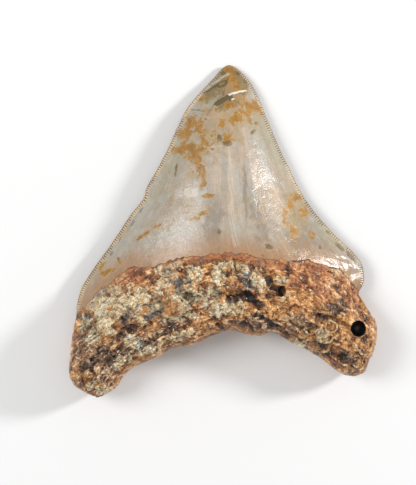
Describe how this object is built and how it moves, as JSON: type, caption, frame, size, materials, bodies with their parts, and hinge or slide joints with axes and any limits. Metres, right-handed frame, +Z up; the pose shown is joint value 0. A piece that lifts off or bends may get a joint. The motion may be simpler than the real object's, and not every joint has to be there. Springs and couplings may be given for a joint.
{
  "type": "megalodon tooth",
  "caption": "Large fossil shark tooth: a serrated triangular blade on a thick, two-lobed, weathered root, lying on its flatter face.",
  "frame": {"origin": "middle of the tooth's outline, on the surface it lies on", "axes": "+Y from the root to the tip, +X across the tooth, +Z up out of the bulging inner (lingual) face"},
  "size_m": [0.103, 0.1114, 0.0242],
  "materials": {
    "fossil_tooth": "mineralised: satin grey enamel on the blade, rough tan-brown crust on the root"
  },
  "bodies": {
    "root": {"tooth": "fossil_tooth"}
  },
  "joints": []
}
